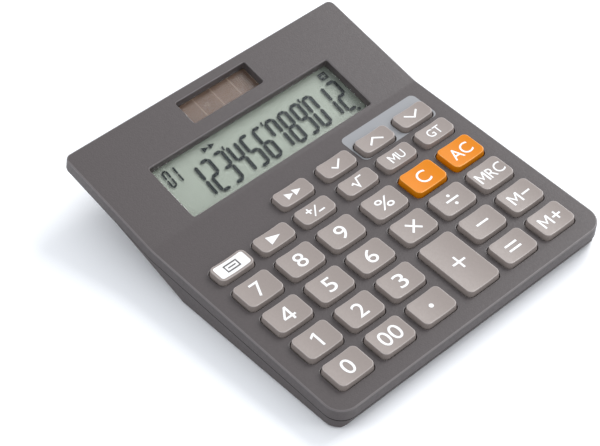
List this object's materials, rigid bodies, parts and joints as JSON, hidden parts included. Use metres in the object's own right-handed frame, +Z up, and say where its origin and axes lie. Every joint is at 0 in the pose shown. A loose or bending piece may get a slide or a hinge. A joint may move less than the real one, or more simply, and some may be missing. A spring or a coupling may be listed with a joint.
{
  "type": "pocket calculator",
  "caption": "Small desk-type pocket calculator with a bent two-part case, LCD, solar cell and separate spring-back keys.",
  "frame": {"origin": "on the resting plane under the middle of the case's outline", "axes": "+X to the user's right along the key rows, +Y from the user towards the display, +Z up from the table"},
  "size_m": [0.1234, 0.137, 0.0256],
  "materials": {
    "case_plastic": "fine matt texture",
    "grey_key": "satin",
    "orange_key": "satin",
    "clear_window": "polished",
    "lcd_glass": "polished",
    "white_plastic": "moulded",
    "connector_film": "film",
    "solar_film": "coated glass",
    "red_wire": "PVC insulation",
    "label_film": "printed film",
    "membrane_rubber": "moulded silicone",
    "board": "solder mask over glass laminate",
    "black_resin": "cast resin",
    "capacitor_sleeve": "shrink sleeve",
    "cell_steel": "nickel plated",
    "contact_metal": "plated spring strip",
    "black_wire": "PVC insulation",
    "screw_steel": "zinc plated",
    "foot_rubber": "moulded"
  },
  "bodies": {
    "case": {"top_case_keypad": "case_plastic", "top_case_display": "case_plastic", "bottom_case": "case_plastic", "display_window": "clear_window", "lcd_front_glass": "lcd_glass", "lcd_rear_glass": "lcd_glass", "lcd_holder": "white_plastic", "lcd_connector": "connector_film", "solar_window": "clear_window", "solar_cell": "solar_film", "solar_leads": "red_wire", "step_label": "label_film", "key_membrane": "membrane_rubber", "main_board": "board", "chip_cover": "black_resin", "capacitor": "capacitor_sleeve", "battery_cell": "cell_steel", "battery_contact_plus": "contact_metal", "battery_contact_minus": "contact_metal", "battery_leads": "black_wire", "battery_door": "case_plastic", "battery_door_screw": "screw_steel", "case_screws": "screw_steel", "board_screws": "screw_steel", "rubber_feet": "foot_rubber"},
    "key_0": {"key_0": "grey_key"},
    "key_00": {"key_00": "grey_key"},
    "key_point": {"key_point": "grey_key"},
    "key_equals": {"key_equals": "grey_key"},
    "key_memory_plus": {"key_memory_plus": "grey_key"},
    "key_1": {"key_1": "grey_key"},
    "key_2": {"key_2": "grey_key"},
    "key_3": {"key_3": "grey_key"},
    "key_plus": {"key_plus": "grey_key"},
    "key_minus": {"key_minus": "grey_key"},
    "key_memory_minus": {"key_memory_minus": "grey_key"},
    "key_4": {"key_4": "grey_key"},
    "key_5": {"key_5": "grey_key"},
    "key_6": {"key_6": "grey_key"},
    "key_multiply": {"key_multiply": "grey_key"},
    "key_divide": {"key_divide": "grey_key"},
    "key_memory_recall": {"key_memory_recall": "grey_key"},
    "key_7": {"key_7": "grey_key"},
    "key_8": {"key_8": "grey_key"},
    "key_9": {"key_9": "grey_key"},
    "key_percent": {"key_percent": "grey_key"},
    "key_clear": {"key_clear": "orange_key"},
    "key_all_clear": {"key_all_clear": "orange_key"},
    "key_display": {"key_display": "grey_key"},
    "key_back": {"key_back": "grey_key"},
    "key_sign": {"key_sign": "grey_key"},
    "key_root": {"key_root": "grey_key"},
    "key_mark_up": {"key_mark_up": "grey_key"},
    "key_grand_total": {"key_grand_total": "grey_key"},
    "key_auto_review": {"key_auto_review": "grey_key"},
    "key_correct": {"key_correct": "grey_key"},
    "key_step_up": {"key_step_up": "grey_key"},
    "key_step_down": {"key_step_down": "grey_key"}
  },
  "joints": [
    {"name": "press_0", "type": "slide", "parent": "case", "child": "key_0", "axis": [0, 0.0523, -0.9986], "range_m": [0, 0.0012], "stiffness_N_per_m": 450, "springref_m": -0.0003, "deforming": ["key_membrane"]},
    {"name": "press_00", "type": "slide", "parent": "case", "child": "key_00", "axis": [0, 0.0523, -0.9986], "range_m": [0, 0.0012], "stiffness_N_per_m": 450, "springref_m": -0.0003, "deforming": ["key_membrane"]},
    {"name": "press_point", "type": "slide", "parent": "case", "child": "key_point", "axis": [0, 0.0523, -0.9986], "range_m": [0, 0.0012], "stiffness_N_per_m": 450, "springref_m": -0.0003, "deforming": ["key_membrane"]},
    {"name": "press_equals", "type": "slide", "parent": "case", "child": "key_equals", "axis": [0, 0.0523, -0.9986], "range_m": [0, 0.0012], "stiffness_N_per_m": 450, "springref_m": -0.0003, "deforming": ["key_membrane"]},
    {"name": "press_memory_plus", "type": "slide", "parent": "case", "child": "key_memory_plus", "axis": [0, 0.0523, -0.9986], "range_m": [0, 0.0012], "stiffness_N_per_m": 450, "springref_m": -0.0003, "deforming": ["key_membrane"]},
    {"name": "press_1", "type": "slide", "parent": "case", "child": "key_1", "axis": [0, 0.0523, -0.9986], "range_m": [0, 0.0012], "stiffness_N_per_m": 450, "springref_m": -0.0003, "deforming": ["key_membrane"]},
    {"name": "press_2", "type": "slide", "parent": "case", "child": "key_2", "axis": [0, 0.0523, -0.9986], "range_m": [0, 0.0012], "stiffness_N_per_m": 450, "springref_m": -0.0003, "deforming": ["key_membrane"]},
    {"name": "press_3", "type": "slide", "parent": "case", "child": "key_3", "axis": [0, 0.0523, -0.9986], "range_m": [0, 0.0012], "stiffness_N_per_m": 450, "springref_m": -0.0003, "deforming": ["key_membrane"]},
    {"name": "press_plus", "type": "slide", "parent": "case", "child": "key_plus", "axis": [0, 0.0523, -0.9986], "range_m": [0, 0.0012], "stiffness_N_per_m": 450, "springref_m": -0.0003, "deforming": ["key_membrane"]},
    {"name": "press_minus", "type": "slide", "parent": "case", "child": "key_minus", "axis": [0, 0.0523, -0.9986], "range_m": [0, 0.0012], "stiffness_N_per_m": 450, "springref_m": -0.0003, "deforming": ["key_membrane"]},
    {"name": "press_memory_minus", "type": "slide", "parent": "case", "child": "key_memory_minus", "axis": [0, 0.0523, -0.9986], "range_m": [0, 0.0012], "stiffness_N_per_m": 450, "springref_m": -0.0003, "deforming": ["key_membrane"]},
    {"name": "press_4", "type": "slide", "parent": "case", "child": "key_4", "axis": [0, 0.0523, -0.9986], "range_m": [0, 0.0012], "stiffness_N_per_m": 450, "springref_m": -0.0003, "deforming": ["key_membrane"]},
    {"name": "press_5", "type": "slide", "parent": "case", "child": "key_5", "axis": [0, 0.0523, -0.9986], "range_m": [0, 0.0012], "stiffness_N_per_m": 450, "springref_m": -0.0003, "deforming": ["key_membrane"]},
    {"name": "press_6", "type": "slide", "parent": "case", "child": "key_6", "axis": [0, 0.0523, -0.9986], "range_m": [0, 0.0012], "stiffness_N_per_m": 450, "springref_m": -0.0003, "deforming": ["key_membrane"]},
    {"name": "press_multiply", "type": "slide", "parent": "case", "child": "key_multiply", "axis": [0, 0.0523, -0.9986], "range_m": [0, 0.0012], "stiffness_N_per_m": 450, "springref_m": -0.0003, "deforming": ["key_membrane"]},
    {"name": "press_divide", "type": "slide", "parent": "case", "child": "key_divide", "axis": [0, 0.0523, -0.9986], "range_m": [0, 0.0012], "stiffness_N_per_m": 450, "springref_m": -0.0003, "deforming": ["key_membrane"]},
    {"name": "press_memory_recall", "type": "slide", "parent": "case", "child": "key_memory_recall", "axis": [0, 0.0523, -0.9986], "range_m": [0, 0.0012], "stiffness_N_per_m": 450, "springref_m": -0.0003, "deforming": ["key_membrane"]},
    {"name": "press_7", "type": "slide", "parent": "case", "child": "key_7", "axis": [0, 0.0523, -0.9986], "range_m": [0, 0.0012], "stiffness_N_per_m": 450, "springref_m": -0.0003, "deforming": ["key_membrane"]},
    {"name": "press_8", "type": "slide", "parent": "case", "child": "key_8", "axis": [0, 0.0523, -0.9986], "range_m": [0, 0.0012], "stiffness_N_per_m": 450, "springref_m": -0.0003, "deforming": ["key_membrane"]},
    {"name": "press_9", "type": "slide", "parent": "case", "child": "key_9", "axis": [0, 0.0523, -0.9986], "range_m": [0, 0.0012], "stiffness_N_per_m": 450, "springref_m": -0.0003, "deforming": ["key_membrane"]},
    {"name": "press_percent", "type": "slide", "parent": "case", "child": "key_percent", "axis": [0, 0.0523, -0.9986], "range_m": [0, 0.0012], "stiffness_N_per_m": 450, "springref_m": -0.0003, "deforming": ["key_membrane"]},
    {"name": "press_clear", "type": "slide", "parent": "case", "child": "key_clear", "axis": [0, 0.0523, -0.9986], "range_m": [0, 0.0012], "stiffness_N_per_m": 450, "springref_m": -0.0003, "deforming": ["key_membrane"]},
    {"name": "press_all_clear", "type": "slide", "parent": "case", "child": "key_all_clear", "axis": [0, 0.0523, -0.9986], "range_m": [0, 0.0012], "stiffness_N_per_m": 450, "springref_m": -0.0003, "deforming": ["key_membrane"]},
    {"name": "press_display", "type": "slide", "parent": "case", "child": "key_display", "axis": [0, 0.0523, -0.9986], "range_m": [0, 0.0012], "stiffness_N_per_m": 450, "springref_m": -0.0003, "deforming": ["key_membrane"]},
    {"name": "press_back", "type": "slide", "parent": "case", "child": "key_back", "axis": [0, 0.0523, -0.9986], "range_m": [0, 0.0012], "stiffness_N_per_m": 450, "springref_m": -0.0003, "deforming": ["key_membrane"]},
    {"name": "press_sign", "type": "slide", "parent": "case", "child": "key_sign", "axis": [0, 0.0523, -0.9986], "range_m": [0, 0.0012], "stiffness_N_per_m": 450, "springref_m": -0.0003, "deforming": ["key_membrane"]},
    {"name": "press_root", "type": "slide", "parent": "case", "child": "key_root", "axis": [0, 0.0523, -0.9986], "range_m": [0, 0.0012], "stiffness_N_per_m": 450, "springref_m": -0.0003, "deforming": ["key_membrane"]},
    {"name": "press_mark_up", "type": "slide", "parent": "case", "child": "key_mark_up", "axis": [0, 0.0523, -0.9986], "range_m": [0, 0.0012], "stiffness_N_per_m": 450, "springref_m": -0.0003, "deforming": ["key_membrane"]},
    {"name": "press_grand_total", "type": "slide", "parent": "case", "child": "key_grand_total", "axis": [0, 0.0523, -0.9986], "range_m": [0, 0.0012], "stiffness_N_per_m": 450, "springref_m": -0.0003, "deforming": ["key_membrane"]},
    {"name": "press_auto_review", "type": "slide", "parent": "case", "child": "key_auto_review", "axis": [0, 0.0523, -0.9986], "range_m": [0, 0.0012], "stiffness_N_per_m": 450, "springref_m": -0.0003, "deforming": ["key_membrane"]},
    {"name": "press_correct", "type": "slide", "parent": "case", "child": "key_correct", "axis": [0, 0.0523, -0.9986], "range_m": [0, 0.0012], "stiffness_N_per_m": 450, "springref_m": -0.0003, "deforming": ["key_membrane"]},
    {"name": "press_step_up", "type": "slide", "parent": "case", "child": "key_step_up", "axis": [0, 0.0523, -0.9986], "range_m": [0, 0.0012], "stiffness_N_per_m": 450, "springref_m": -0.0003, "deforming": ["key_membrane"]},
    {"name": "press_step_down", "type": "slide", "parent": "case", "child": "key_step_down", "axis": [0, 0.0523, -0.9986], "range_m": [0, 0.0012], "stiffness_N_per_m": 450, "springref_m": -0.0003, "deforming": ["key_membrane"]}
  ]
}
